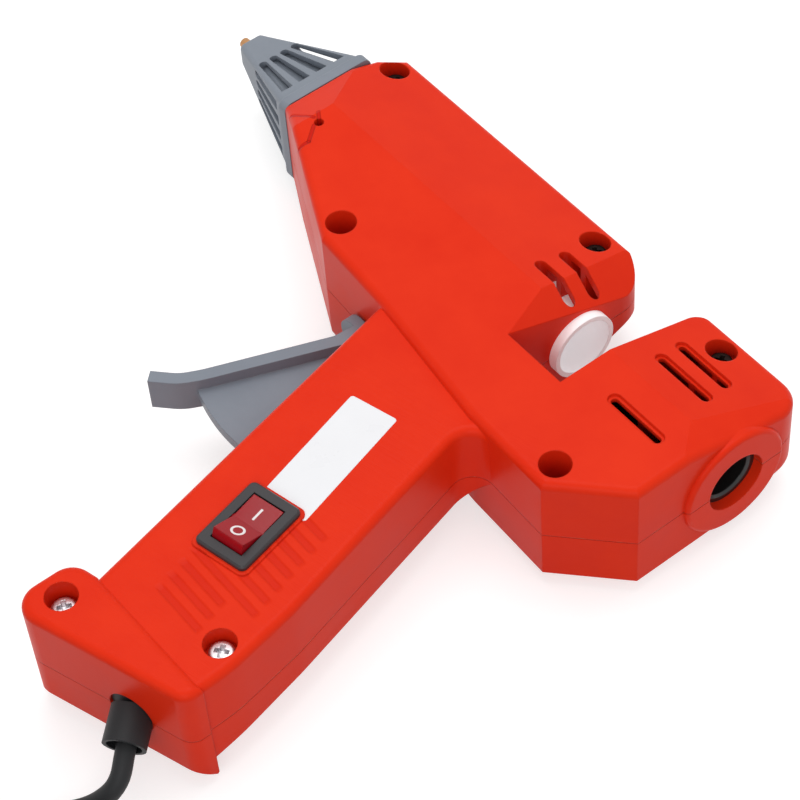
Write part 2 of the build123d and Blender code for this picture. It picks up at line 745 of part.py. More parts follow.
spring_low_z = wall + 1.0
spring_turns = 2.75
spring_pitch = 0.95
spring_plane = Plane(origin=(pivot[0], pivot[1], spring_low_z))

with BuildPart() as trigger_spring:
    with BuildLine(spring_plane) as wound:
        Helix(pitch=spring_pitch, height=spring_turns * spring_pitch, radius=spring_mean_r,
              lefthand=True)
    with BuildSketch(Plane(origin=wound.line @ 0, z_dir=wound.line % 0)):
        Circle(spring_wire / 2)
    sweep(is_frenet=True)
    with BuildSketch(Plane(origin=wound.line @ 0, z_dir=wound.line % 0)):
        Circle(spring_wire / 2)
    extrude(amount=-9.0)
    with BuildSketch(Plane(origin=wound.line @ 1, z_dir=wound.line % 1)):
        Circle(spring_wire / 2)
    extrude(amount=9.0)
save("trigger_spring", trigger_spring)

# ---------------------------------------------------------------- rocker switch
shaft_plane = switch_plane.offset(-rocker_drop)
across_plane = Plane(origin=shaft_plane.origin, x_dir=shaft_plane.x_dir, z_dir=-shaft_plane.y_dir)

with BuildPart() as switch_body:
    with BuildSketch(switch_plane.offset(-bezel_proud)):
        RectangleRounded(bezel_long, bezel_wide, 1.5)
    extrude(amount=bezel_proud)
    chamfer(switch_body.faces().sort_by(Axis.Z)[-1].edges(), 0.5)
    with BuildSketch(switch_plane.offset(-bezel_proud)):
        Rectangle(switch_long, switch_wide)
    extrude(amount=-switch_deep)
    with BuildSketch(switch_plane):
        Rectangle(bezel_open_long, bezel_open_wide)
    extrude(amount=-9.0, mode=Mode.SUBTRACT)
    with BuildSketch(across_plane):
        Circle(1.25)
    extrude(amount=5.7, both=True, mode=Mode.SUBTRACT)
save("switch_body", switch_body)

with BuildPart() as switch_rocker:
    with BuildSketch(across_plane):
        Circle(rocker_r)
        with BuildLine():
            Polyline((-9, rocker_drop + 0.2 + 9 * tan(radians(rocker_swing))), (0, rocker_drop - 0.3),
                     (9, rocker_drop), (9, -3.0), (0, -4.6), (-9, -3.0), close=True)
        make_face(mode=Mode.INTERSECT)
    extrude(amount=bezel_open_wide / 2 - 0.3, both=True)
    with BuildSketch(across_plane):
        Circle(1.2)
    extrude(amount=5.4, both=True)
save("switch_rocker", switch_rocker)

with BuildPart() as switch_terminals:
    for place in (-6.0, 0.0, 6.0):
        with BuildSketch(switch_plane.offset(-bezel_proud - switch_deep)):
            with Locations((place, 0)):
                Rectangle(0.8, 4.8)
        extrude(amount=-5.5)
save("switch_terminals", switch_terminals)


def route_radii(points):
    """Arc radius at each corner: 0.45 of the shorter run over the tangent of half the turn."""
    radii = []
    for i in range(1, len(points) - 1):
        before = Vector(*points[i]) - Vector(*points[i - 1])
        after = Vector(*points[i + 1]) - Vector(*points[i])
        half_turn = radians(before.get_angle(after)) / 2
        radii.append(0.45 * min(before.length, after.length) / tan(half_turn))
    return radii


def wire(points, radius, name):
    """Round wire along straight runs joined by tangent arcs."""
    radii = route_radii(points)
    with BuildPart() as strand:
        with BuildLine() as path:
            FilletPolyline(*points, radius=radii)
        with BuildSketch(Plane(origin=path.line @ 0, z_dir=path.line % 0)):
            Circle(radius)
        sweep()
    length = sum(edge.length for edge in path.edges())
    ratio = strand.part.volume / (pi * radius**2 * length)
    print(f"{name}: length {length:.1f} mm, volume over section times length {ratio:.4f}, radii",
          [round(r, 1) for r in radii])
    save(name, strand)
    return length


def switch_point(along, down):
    """Point under the switch, along its long axis and below its bezel."""
    spot = switch_plane.from_local_coords(Vector(along, 0, -down))
    return (spot.X, spot.Y, spot.Z)


tab = bezel_proud + switch_deep + 5.5
wire([(54.8, -65.3, 18.8), (53.8, -61.5, 17.0), (52.5, -54.0, 12.5), (51.5, -48.0, 11.0),
      switch_point(-6.0, tab + 6), switch_point(-6.0, tab)], 0.9, "live_lead")
wire([switch_point(0.0, tab), switch_point(0.0, tab + 5), (45.0, -22.0, 8.4), (38.0, 2.0, 7.0),
      (31.0, 26.0, 6.2), (20.0, 41.0, 4.4), (8.0, 46.0, 4.2), (-6.0, 48.6, 4.4), (-15.0, 50.4, 5.0),
      (-20.0, 52.2, 8.0), (-20.0, 52.2, parting_z - 6.5)], 0.9, "switched_lead")
wire([(54.8, -65.2, 21.2), (55.2, -61.5, 20.2), (58.5, -54.0, 14.0), (60.0, -40.0, 9.0),
      (57.0, -18.0, 7.0), (47.0, 6.0, 6.6), (38.0, 28.0, 6.2), (25.0, 44.6, 4.3), (8.0, 49.6, 4.2),
      (-8.0, 52.3, 4.4), (-22.0, 53.4, 5.4), (-30.0, 52.2, 8.0), (-30.0, 52.2, parting_z - 6.5)],
     0.9, "neutral_lead")

# ---------------------------------------------------------------- mains cord
clamp_middle = (56.6, -71.9)
clamp_turn = Plane(origin=(clamp_middle[0], clamp_middle[1], 0), x_dir=(0.965, 0.263, 0))

with BuildPart() as cord_clamp:
    with BuildSketch(clamp_turn.offset(parting_z + cord_r + 0.5)):
        RectangleRounded(20, 6, 1.5)
    extrude(amount=2.4)
    with BuildSketch(clamp_turn.offset(parting_z)):
        with Locations((-7, 0), (7, 0)):
            Circle(1.6)
    extrude(amount=20, mode=Mode.SUBTRACT)
save("cord_clamp", cord_clamp)

with BuildPart() as clamp_screws:
    for side in (-7, 7):
        with BuildSketch(clamp_turn.offset(8.0)):
            with Locations((side, 0)):
                Circle(1.35)
        extrude(amount=parting_z + cord_r + 2.9 - 8.0)
        with BuildSketch(clamp_turn.offset(parting_z + cord_r + 2.9)):
            with Locations((side, 0)):
                Circle(2.6)
        extrude(amount=1.8)
save("clamp_screws", clamp_screws)

way = Vector(*relief_way).normalized()
relief_start = Vector(cord_exit[0], cord_exit[1], 19.9)
relief_mouth = relief_start + way * 9.2
relief_plane = Plane(origin=relief_start, z_dir=way)

with BuildPart() as cord_sleeve:
    with BuildSketch(cord_hole_plane.offset(-0.4)):
        Circle(cord_hole_r - 0.1)
    extrude(amount=4.9)
    with BuildSketch(cord_hole_plane.offset(2.6)):
        Circle(8.4)
    extrude(amount=1.9)
    with BuildSketch(relief_plane):
        Circle(relief_r)
    extrude(amount=9.2)
    with BuildSketch(relief_plane.offset(1.5)):
        Circle(relief_r - 1.0)
    extrude(amount=20, mode=Mode.SUBTRACT)
    with BuildLine() as cord_middle:
        FilletPolyline(*cord_route[:4], radius=route_radii(cord_route)[:2])
    with BuildSketch(Plane(origin=cord_middle.line @ 0, z_dir=cord_middle.line % 0)):
        Circle(cord_r + seat_fit)
    sweep(mode=Mode.SUBTRACT)
save("cord_sleeve", cord_sleeve)

cord_length = wire(cord_route, cord_r, "mains_cord")
tail_length = wire(tail_route, cord_r, "cord_tail")

coil_in_r = coil_turn_r[0] - cord_r
coil_out_r = coil_turn_r[-1] + cord_r
coil_high = 2 * cord_r * coil_layers

with BuildPart() as cord_coil:
    with BuildSketch(Plane(origin=(coil_centre[0], coil_centre[1], 0))):
        Circle(coil_out_r)
        Circle(coil_in_r, mode=Mode.SUBTRACT)
    extrude(amount=coil_high)
    fillet(cord_coil.edges(), 0.9 * cord_r)
save("cord_coil", cord_coil)
coil_length = coil_layers * coil_turns * pi * (coil_turn_r[0] + coil_turn_r[-1])
print(f"cord in all {(cord_length + coil_length + tail_length) / 1000:.3f} m")

tail_end = Vector(*tail_route[-1])
tail_way = (tail_end - Vector(*tail_route[-2]))
plug_way = Vector(tail_way.X, tail_way.Y, 0).normalized()
plug_plane = Plane(origin=(tail_end.X, tail_end.Y, plug_high / 2), x_dir=(plug_way.Y, -plug_way.X, 0),
                   z_dir=plug_way)

with BuildPart() as plug_body:
    for out, wide, high in ((0.0, 11.0, 9.0), (12.0, 17.0, plug_high)):
        with BuildSketch(plug_plane.offset(out)):
            RectangleRounded(wide, high, 3.5)
    loft()
    for out, wide, high in ((12.0, 17.0, plug_high), (24.0, 35.0, plug_high)):
        with BuildSketch(plug_plane.offset(out)):
            RectangleRounded(wide, high, 3.5)
    loft()
    with BuildSketch(plug_plane.offset(24.0)):
        RectangleRounded(35.0, plug_high, 3.5)
    extrude(amount=10.0)
    with BuildSketch(plug_plane.offset(34.0)):
        with Locations((plug_pin_gap / 2, 0), (-plug_pin_gap / 2, 0)):
            Circle(plug_pin_r + seat_fit)
    extrude(amount=-8.0, mode=Mode.SUBTRACT)
save("plug_body", plug_body)

with BuildPart() as plug_pins:
    with BuildSketch(plug_plane.offset(26.0)):
        with Locations((plug_pin_gap / 2, 0), (-plug_pin_gap / 2, 0)):
            Circle(plug_pin_r)
    extrude(amount=8.0 + plug_pin_long)
    tips = plug_pins.faces().filter_by(GeomType.PLANE).sort_by(Axis((0, 0, 0), plug_way))[-2:]
    fillet(tips.edges(), 1.2)
save("plug_pins", plug_pins)
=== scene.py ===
"""Looks for the hot glue gun: camera, cord, finishes, small fastener and marking detail."""

import math

import bmesh
import bpy
from mathutils import Matrix, Vector


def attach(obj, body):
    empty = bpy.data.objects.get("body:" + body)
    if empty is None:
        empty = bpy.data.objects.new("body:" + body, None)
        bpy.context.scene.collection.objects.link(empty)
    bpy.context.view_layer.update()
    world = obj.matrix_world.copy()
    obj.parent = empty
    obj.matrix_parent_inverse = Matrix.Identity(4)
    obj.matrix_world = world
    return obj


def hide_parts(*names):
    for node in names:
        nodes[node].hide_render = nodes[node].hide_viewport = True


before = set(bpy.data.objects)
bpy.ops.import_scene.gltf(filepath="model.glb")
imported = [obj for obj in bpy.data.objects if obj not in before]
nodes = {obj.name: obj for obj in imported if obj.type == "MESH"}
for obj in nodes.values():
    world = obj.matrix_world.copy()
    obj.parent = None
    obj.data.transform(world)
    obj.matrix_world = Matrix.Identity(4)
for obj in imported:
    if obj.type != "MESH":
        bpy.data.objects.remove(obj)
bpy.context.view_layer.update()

MM = 0.001
IN_MM = 1000.0
scene = bpy.context.scene
scene.view_settings.view_transform = "Standard"


def mm(*values):
    """Point given in millimetres, in metres."""
    return Vector(values) * MM


# ---------------------------------------------------------------- camera
sensor_wide = 36.0
lens_long = 120.33
camera_at = (372.0, -211.0, 529.2)
camera_right = (0.6137, 0.7876, -0.0550)
camera_back = (0.5228, -0.3532, 0.7758)


def place_camera():
    """Camera above the foot of the grip, looking along the gun towards the nozzle."""
    data = bpy.data.cameras.new("camera")
    data.sensor_width = sensor_wide
    data.lens = lens_long
    camera = bpy.data.objects.new("camera", data)
    scene.collection.objects.link(camera)
    right = Vector(camera_right).normalized()
    back = Vector(camera_back).normalized()
    up = back.cross(right).normalized()
    right = up.cross(back)
    turn = Matrix((right, up, back)).transposed().to_4x4()
    camera.matrix_world = Matrix.Translation(mm(*camera_at)) @ turn
    scene.camera = camera


place_camera()

# ---------------------------------------------------------------- cord
cord_radius = 2.4
cord_route = [
    (55.0, -66.0, 20.0), (58.0, -77.0, 20.0), (66.3, -87.0, 17.0), (70.5, -92.0, 12.5),
    (68.5, -98.0, 7.4), (63.0, -104.0, 3.2), (55.0, -116.0, 2.4), (50.2, -131.0, 2.4),
]
tail_route = [
    (50.2, -158.0, 15.4), (47.5, -172.0, 11.4), (42.0, -184.0, 8.0), (35.5, -193.0, 6.5),
]
coil_centre = (80.0, -145.0)
coil_outer_turn = 29.8
coil_inner_turn = 20.2
coil_layers = 4
turns_per_layer = 2
points_per_turn = 16
climb_rate = 6.0           # layers per turn, while the cord climbs to the next layer
cord_fineness = 6          # round the cord, and from one of its points to the next


def coil_points():
    """Flat spirals wound inwards and outwards by turns, one layer on another."""
    points = []
    per_layer = turns_per_layer * points_per_turn
    for i in range(coil_layers * per_layer + 1):
        layer = min(i // per_layer, coil_layers - 1)
        share = i / per_layer - layer
        inwards = share if layer % 2 == 0 else 1.0 - share
        radius = coil_outer_turn + (coil_inner_turn - coil_outer_turn) * inwards
        climb = min(1.0, share * turns_per_layer * climb_rate) if layer else 1.0
        height = cord_radius * (1.0 + 2.0 * (layer - 1.0 + climb))
        angle = math.pi + 2.0 * math.pi * i / points_per_turn
        points.append((coil_centre[0] + radius * math.cos(angle),
                       coil_centre[1] + radius * math.sin(angle), height))
    return points


def make_cord():
    """The mains cord as one smooth line from the clamp in the foot to the plug."""
    points = cord_route + coil_points() + tail_route
    curve = bpy.data.curves.new("mains_cord_line", "CURVE")
    curve.dimensions = "3D"
    curve.bevel_depth = 1.0      # times each point's radius, which also widens the curve's box
    curve.bevel_resolution = cord_fineness
    curve.resolution_u = cord_fineness
    curve.use_fill_caps = True
    spline = curve.splines.new("NURBS")
    spline.points.add(len(points) - 1)
    for point, place in zip(spline.points, points):
        point.co = (*mm(*place), 1.0)
        point.radius = cord_radius * MM
    spline.order_u = 3
    spline.use_endpoint_u = True
    cord = bpy.data.objects.new("mains_cord_line", curve)
    scene.collection.objects.link(cord)
    return cord


def line_length(curve_object):
    """Length of a curve's own line, in metres."""
    bare = curve_object.data.copy()
    bare.bevel_depth = 0.0
    probe = bpy.data.objects.new("probe", bare)
    mesh = bpy.data.meshes.new_from_object(probe)
    places = [v.co for v in mesh.vertices]
    length = sum((b - a).length for a, b in zip(places, places[1:]))
    bpy.data.meshes.remove(mesh)
    bpy.data.objects.remove(probe)
    bpy.data.curves.remove(bare)
    return length


cord = make_cord()
cord_length = line_length(cord)
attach(cord, "housing")
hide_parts("mains_cord", "cord_coil", "cord_tail")


# ---------------------------------------------------------------- shader groups
def new_group(name, inputs, outputs):
    """Shader node group with its named sockets; inputs give (name, kind, default)."""
    group = bpy.data.node_groups.new(name, "ShaderNodeTree")
    for label, kind, default in inputs:
        socket = group.interface.new_socket(name=label, in_out="INPUT", socket_type=kind)
        socket.default_value = default
    for label, kind in outputs:
        group.interface.new_socket(name=label, in_out="OUTPUT", socket_type=kind)
    return group, group.nodes.new("NodeGroupInput"), group.nodes.new("NodeGroupOutput")


def feed(tree, socket, value):
    """Gives an input socket another node's output, or a value of its own."""
    if isinstance(value, bpy.types.NodeSocket):
        tree.links.new(value, socket)
    else:
        socket.default_value = value


def math_node(tree, operation, *values):
    """Math node whose inputs are sockets or numbers; returns its output socket."""
    node = tree.nodes.new("ShaderNodeMath")
    node.operation = operation
    for i, value in enumerate(values):
        feed(tree, node.inputs[i], value)
    return node.outputs[0]


def plus(tree, first, second):
    """Sum of two values."""
    return math_node(tree, "ADD", first, second)


def minus(tree, first, second):
    """First value less the second."""
    return math_node(tree, "SUBTRACT", first, second)


def times(tree, first, second):
    """Product of two values."""
    return math_node(tree, "MULTIPLY", first, second)


def vector_node(tree, operation, first, second):
    """Vector math node on sockets or tuples; returns the node."""
    node = tree.nodes.new("ShaderNodeVectorMath")
    node.operation = operation
    for i, value in enumerate((first, second)):
        feed(tree, node.inputs[i], value)
    return node


def noise_node(tree, vector, scale, detail=3.0, roughness=0.5):
    """Noise texture on a vector; scale is a socket or a number."""
    node = tree.nodes.new("ShaderNodeTexNoise")
    node.inputs["Detail"].default_value = detail
    node.inputs["Roughness"].default_value = roughness
    tree.links.new(vector, node.inputs["Vector"])
    feed(tree, node.inputs["Scale"], scale)
    return node.outputs["Fac"]


def ramp(tree, value, low, high, to_low=0.0, to_high=1.0):
    """Linear map of a value from one range to another, clamped."""
    node = tree.nodes.new("ShaderNodeMapRange")
    tree.links.new(value, node.inputs["Value"])
    ends = (("From Min", low), ("From Max", high), ("To Min", to_low), ("To Max", to_high))
    for label, number in ends:
        feed(tree, node.inputs[label], number)
    return node.outputs["Result"]


def object_place(tree):
    """Position on the object, in metres."""
    return tree.nodes.new("ShaderNodeTexCoord").outputs["Object"]


def heights_above(tree):
    """Height of a point on the object, in metres."""
    apart = tree.nodes.new("ShaderNodeSeparateXYZ")
    tree.links.new(object_place(tree), apart.inputs["Vector"])
    return apart.outputs["Z"]


fine_share = 0.35                    # height of the fine grain beside the slow unevenness
scratch_stretch = (1.0, 14.0, 6.0)   # how far scratches are drawn out, and which way they run
scratch_turn = (0.2, 0.4, 0.7)
rubbed_scale = 35.0
flash_scale = 260.0
flash_offset = 1.1                   # middle of the flash from the seam, in half widths


def make_grain_group():
    """Fine grain and slow unevenness of a moulded or cast skin."""
    group, into, out = new_group(
        "moulded skin",
        [("Grain Scale", "NodeSocketFloat", 1800.0), ("Flow Scale", "NodeSocketFloat", 60.0)],
        [("Height", "NodeSocketFloat"), ("Tone", "NodeSocketFloat")])
    place = object_place(group)
    fine = noise_node(group, place, into.outputs["Grain Scale"], 2.0)
    slow = noise_node(group, place, into.outputs["Flow Scale"], 4.0, 0.6)
    group.links.new(plus(group, times(group, fine, fine_share), slow), out.inputs["Height"])
    group.links.new(slow, out.inputs["Tone"])
    return group


def make_scuff_group():
    """Hair scratches and rubbed patches from handling."""
    group, into, out = new_group(
        "handling marks",
        [("Scratch Scale", "NodeSocketFloat", 90.0), ("Amount", "NodeSocketFloat", 0.5)],
        [("Scratches", "NodeSocketFloat"), ("Rubbed", "NodeSocketFloat")])
    place = object_place(group)
    stretch = group.nodes.new("ShaderNodeMapping")
    stretch.inputs["Scale"].default_value = scratch_stretch
    stretch.inputs["Rotation"].default_value = scratch_turn
    group.links.new(place, stretch.inputs["Vector"])
    amount = into.outputs["Amount"]
    streak = noise_node(group, stretch.outputs["Vector"], into.outputs["Scratch Scale"], 6.0, 0.7)
    lines = ramp(group, streak, 0.66, 0.74)
    patches = ramp(group, noise_node(group, place, rubbed_scale), 0.45, 0.7)
    scratches = times(group, times(group, lines, patches), amount)
    group.links.new(scratches, out.inputs["Scratches"])
    group.links.new(times(group, patches, amount), out.inputs["Rubbed"])
    return group


def make_seam_group():
    """Fine line where two moulded halves meet, at one height, with broken pale flash along it."""
    group, into, out = new_group(
        "parting line",
        [("Height", "NodeSocketFloat", 0.0195), ("Half Width", "NodeSocketFloat", 0.00016)],
        [("Line", "NodeSocketFloat"), ("Flash", "NodeSocketFloat")])
    half = into.outputs["Half Width"]
    above = minus(group, heights_above(group), into.outputs["Height"])
    line = ramp(group, math_node(group, "ABSOLUTE", above), 0.0, half, 1.0, 0.0)
    lip = minus(group, above, times(group, half, flash_offset))
    lip = ramp(group, math_node(group, "ABSOLUTE", lip), 0.0, half, 1.0, 0.0)
    broken = ramp(group, noise_node(group, object_place(group), flash_scale), 0.5, 0.6)
    group.links.new(line, out.inputs["Line"])
    group.links.new(times(group, lip, broken), out.inputs["Flash"])
    return group


def make_edge_group():
    """Normal that rounds off the sharp edges of a moulding."""
    group, into, out = new_group("softened edges", [("Radius", "NodeSocketFloat", 0.0004)],
                                 [("Normal", "NodeSocketVector")])
    bevel = group.nodes.new("ShaderNodeBevel")
    bevel.samples = 4
    group.links.new(into.outputs["Radius"], bevel.inputs["Radius"])
    group.links.new(bevel.outputs["Normal"], out.inputs["Normal"])
    return group


def make_scored_group():
    """Narrow groove in plan between two points of a side."""
    group, into, out = new_group(
        "scored groove",
        [("Start", "NodeSocketVector", (0.0, 0.0, 0.0)),
         ("End", "NodeSocketVector", (0.01, 0.0, 0.0)),
         ("Half Width", "NodeSocketFloat", 0.00062)],
        [("Groove", "NodeSocketFloat")])
    start, end, half = (into.outputs[label] for label in ("Start", "End", "Half Width"))
    flat = vector_node(group, "MULTIPLY", object_place(group), (1.0, 1.0, 0.0)).outputs["Vector"]
    from_start = vector_node(group, "SUBTRACT", flat, start).outputs["Vector"]
    run = vector_node(group, "SUBTRACT", end, start).outputs["Vector"]
    reach = vector_node(group, "DOT_PRODUCT", from_start, run).outputs["Value"]
    square = vector_node(group, "DOT_PRODUCT", run, run).outputs["Value"]
    share = ramp(group, math_node(group, "DIVIDE", reach, square), 0.0, 1.0)
    nearest = group.nodes.new("ShaderNodeVectorMath")
    nearest.operation = "SCALE"
    group.links.new(run, nearest.inputs[0])
    group.links.new(share, nearest.inputs["Scale"])
    apart = vector_node(group, "DISTANCE", from_start, nearest.outputs["Vector"]).outputs["Value"]
    groove = ramp(group, apart, times(group, half, 0.5), half, 1.0, 0.0)
    group.links.new(groove, out.inputs["Groove"])
    return group


grain_group = make_grain_group()
scuff_group = make_scuff_group()
seam_group = make_seam_group()
edge_group = make_edge_group()
scored_group = make_scored_group()


# ---------------------------------------------------------------- finishes
def place_group(tree, group, **values):
    """Puts a shader group in a material with its own values."""
    node = tree.nodes.new("ShaderNodeGroup")
    node.node_tree = group
    for label, value in values.items():
        node.inputs[label.replace("_", " ")].default_value = value
    return node


def mix_colour(tree, share, first, second):
    """Colour mixed by a share; colours are sockets or tuples."""
    node = tree.nodes.new("ShaderNodeMix")
    node.data_type = "RGBA"
    tree.links.new(share, node.inputs["Factor"])
    for socket, value in ((node.inputs[6], first), (node.inputs[7], second)):
        feed(tree, socket, value if isinstance(value, bpy.types.NodeSocket) else (*value, 1.0))
    return node.outputs[2]


# Grip, in millimetres: +X is along the body, +Y up the grip
grip_rake = math.radians(13.2)
bezel_centre = (47.7, -36.7)
grip_face_z = 37.0
along_grip = Vector((-math.sin(grip_rake), math.cos(grip_rake), 0.0))
across_grip = Vector((math.cos(grip_rake), math.sin(grip_rake), 0.0))

# Shallow grooves across the grip, counted from the top one
groove_count = 10
groove_pitch = 4.05
groove_top_y = -23.2
groove_floor, groove_mouth = 0.16, 0.30   # half widths, as shares of the pitch
groove_step_x = 1.15                 # each lies this much further back than the last
groove_start_x = 50.0
groove_end_x = 62.0
wide_grooves_from = 6                # these start further forward, below the switch
wide_grooves_shift = -13.6
cut_grooves_from = 7                 # and these stop short at the rear
cut_grooves_shift = -8.4
groove_start_fade = 2.0
groove_end_fade = 1.2

# Drag lines on the grip, and where they fade out into the body
streak_along, streak_across = 1.15, 0.09
streaks_full_to, streaks_gone_at = 50.0, 62.0

# Heights over which marks fade in on the grip's face and on the body's side, in metres
grip_face_fade = (0.0362, 0.0367)
body_side_fade = (0.034, 0.035)

# Case marks: rise in grain depths, and how far the colour goes to the mark's colour: painted shade
# in the grooves, the seam's dark line, pale flash
seam_mark = (-2.5, 0.5)
flash_mark = (3.0, 0.8)
groove_mark = (-6.0, 0.35)
streak_mark = (1.1, 0.0)
scored_mark = (-9.0, 0.85)
# The darker red left in the grooves is painted shade; on the parting line it is the seam's own dark
# line.
groove_shade_and_seam_shares = (0.72, 0.3, 0.6)       # what is left of the colour in a groove
pale_flash = (0.90, 0.22, 0.14)
pivot_grooves = [((-53.8, 50.3), (-47.2, 53.1)), ((-48.3, 55.3), (-45.6, 53.6)),
                 ((-44.9, 51.4), (-41.0, 46.8)), ((-41.0, 46.8), (-41.2, 43.8))]


def grip_place(tree):
    """Distances along and across the grip from the switch's middle, in millimetres."""
    centre = (*(v * MM for v in bezel_centre), 0.0)
    off = vector_node(tree, "SUBTRACT", object_place(tree), centre).outputs["Vector"]
    return [vector_node(tree, "DOT_PRODUCT", off, tuple(way * IN_MM)).outputs["Value"]
            for way in (along_grip, across_grip)]


def on_grip_face(tree):
    """Mask of the grip's face, clear of its bevels."""
    return ramp(tree, heights_above(tree), *grip_face_fade)


def grip_grooves(tree):
    """Shallow grooves square to the body, down the grip's rear and across it below the switch."""
    apart = tree.nodes.new("ShaderNodeSeparateXYZ")
    in_mm = vector_node(tree, "MULTIPLY", object_place(tree), (IN_MM,) * 3)
    tree.links.new(in_mm.outputs["Vector"], apart.inputs["Vector"])
    x, y = apart.outputs["X"], apart.outputs["Y"]
    steps = math_node(tree, "DIVIDE", minus(tree, groove_top_y, y), groove_pitch)
    index = math_node(tree, "FLOOR", steps)
    off_middle = math_node(tree, "ABSOLUTE", minus(tree, minus(tree, steps, index), 0.5))
    profile = ramp(tree, off_middle, groove_floor, groove_mouth, 1.0, 0.0)
    step_back = times(tree, index, groove_step_x)
    wide = math_node(tree, "GREATER_THAN", index, wide_grooves_from - 0.5)
    cut = math_node(tree, "GREATER_THAN", index, cut_grooves_from - 0.5)
    start = plus(tree, times(tree, wide, wide_grooves_shift), plus(tree, step_back, groove_start_x))
    end = plus(tree, times(tree, cut, cut_grooves_shift), plus(tree, step_back, groove_end_x))
    ends = times(tree, ramp(tree, minus(tree, x, start), 0.0, groove_start_fade),
                 ramp(tree, minus(tree, end, x), 0.0, groove_end_fade))
    rows = times(tree, math_node(tree, "GREATER_THAN", index, -0.5),
                 math_node(tree, "LESS_THAN", index, groove_count - 0.5))
    return times(tree, times(tree, profile, ends), times(tree, rows, on_grip_face(tree)))


def grip_streaks(tree):
    """Fine uneven drag lines across the grip face, fading out into the body."""
    along, across = grip_place(tree)
    drawn = tree.nodes.new("ShaderNodeCombineXYZ")
    tree.links.new(times(tree, along, streak_along), drawn.inputs["X"])
    tree.links.new(times(tree, across, streak_across), drawn.inputs["Y"])
    lines = ramp(tree, noise_node(tree, drawn.outputs["Vector"], 1.0, 3.0, 0.6), 0.4, 0.65)
    fade = ramp(tree, along, streaks_gone_at, streaks_full_to)
    return times(tree, lines, times(tree, on_grip_face(tree), fade))


def case_relief(tree, base, height, colour):
    """Parting line, grip grooves, drag lines and pivot grooves of the red case; the grooves are
    darkened with painted shade.
    """
    # Grooves are tinted toward this darker red as painted shade; the seam line takes it as its own
    # colour.
    groove_shade_and_seam = tuple(part * left for part, left in zip(colour, groove_shade_and_seam_shares))
    line = place_group(tree, seam_group)
    marks = [(line.outputs["Line"], seam_mark, groove_shade_and_seam),
             (line.outputs["Flash"], flash_mark, pale_flash),
             (grip_grooves(tree), groove_mark, groove_shade_and_seam), (grip_streaks(tree), streak_mark, groove_shade_and_seam)]
    on_side = ramp(tree, heights_above(tree), *body_side_fade)
    for start, end in pivot_grooves:
        groove = place_group(tree, scored_group, Start=mm(*start, 0.0), End=mm(*end, 0.0))
        marks.append((times(tree, groove.outputs["Groove"], on_side), scored_mark, groove_shade_and_seam))
    for mask, (rise, tint), mark_colour in marks:
        height = plus(tree, height, times(tree, mask, rise))
        if tint:
            base = mix_colour(tree, times(tree, mask, tint), base, mark_colour)
    return base, height


scratch_tint = 0.5
rubbed_rougher = 0.12
tone_range = (0.3, 0.7)
roughness_spread = (-0.04, 0.05)


def finish(name, colour, shade, roughness, grain=1800.0, grain_depth=0.00003, scuffs=0.35,
           relief=None, metallic=0.0, edge=0.0003, sockets=()):
    """Finish with grain, unevenness between colour and shade, soft edges and handling marks."""
    material = bpy.data.materials.new(name)
    material.use_nodes = True
    tree = material.node_tree
    shader = tree.nodes["Principled BSDF"]
    shader.inputs["Metallic"].default_value = metallic
    for label, value in sockets:
        shader.inputs[label].default_value = value
    skin = place_group(tree, grain_group, Grain_Scale=grain)
    marks = place_group(tree, scuff_group, Amount=scuffs)
    base = mix_colour(tree, ramp(tree, skin.outputs["Tone"], *tone_range), shade, colour)
    paler = tuple(min(1.0, c * 0.8 + 0.12) for c in colour)
    scratched = times(tree, marks.outputs["Scratches"], scratch_tint)
    base = mix_colour(tree, scratched, base, paler)
    height = skin.outputs["Height"]
    if relief:
        base, height = relief(tree, base, height, colour)
    tree.links.new(base, shader.inputs["Base Color"])
    spread = (roughness + off for off in roughness_spread)
    rough = ramp(tree, skin.outputs["Tone"], *tone_range, *spread)
    rough = plus(tree, rough, times(tree, marks.outputs["Rubbed"], rubbed_rougher))
    tree.links.new(rough, shader.inputs["Roughness"])
    bump = tree.nodes.new("ShaderNodeBump")
    bump.inputs["Distance"].default_value = grain_depth
    bump.inputs["Strength"].default_value = 1.0
    tree.links.new(height, bump.inputs["Height"])
    soft = place_group(tree, edge_group, Radius=edge)
    tree.links.new(soft.outputs["Normal"], bump.inputs["Normal"])
    tree.links.new(bump.outputs["Normal"], shader.inputs["Normal"])
    return material


red_case = finish(
    "red moulded case", (0.79, 0.033, 0.0075), (0.745, 0.026, 0.006), 0.34, relief=case_relief,
    grain_depth=0.000035, edge=0.0005, sockets=(("Specular IOR Level", 0.07),))
grey_plastic = finish(
    "grey moulded plastic", (0.225, 0.252, 0.295), (0.195, 0.22, 0.26), 0.44, edge=0.0004,
    sockets=(("Specular IOR Level", 0.35),))
black_plastic = finish(
    "black moulded plastic", (0.042, 0.038, 0.041), (0.030, 0.027, 0.029), 0.36,
    sockets=(("Specular IOR Level", 0.3),))
black_tube = finish("black guide tube", (0.012, 0.011, 0.011), (0.007, 0.006, 0.006), 0.3)
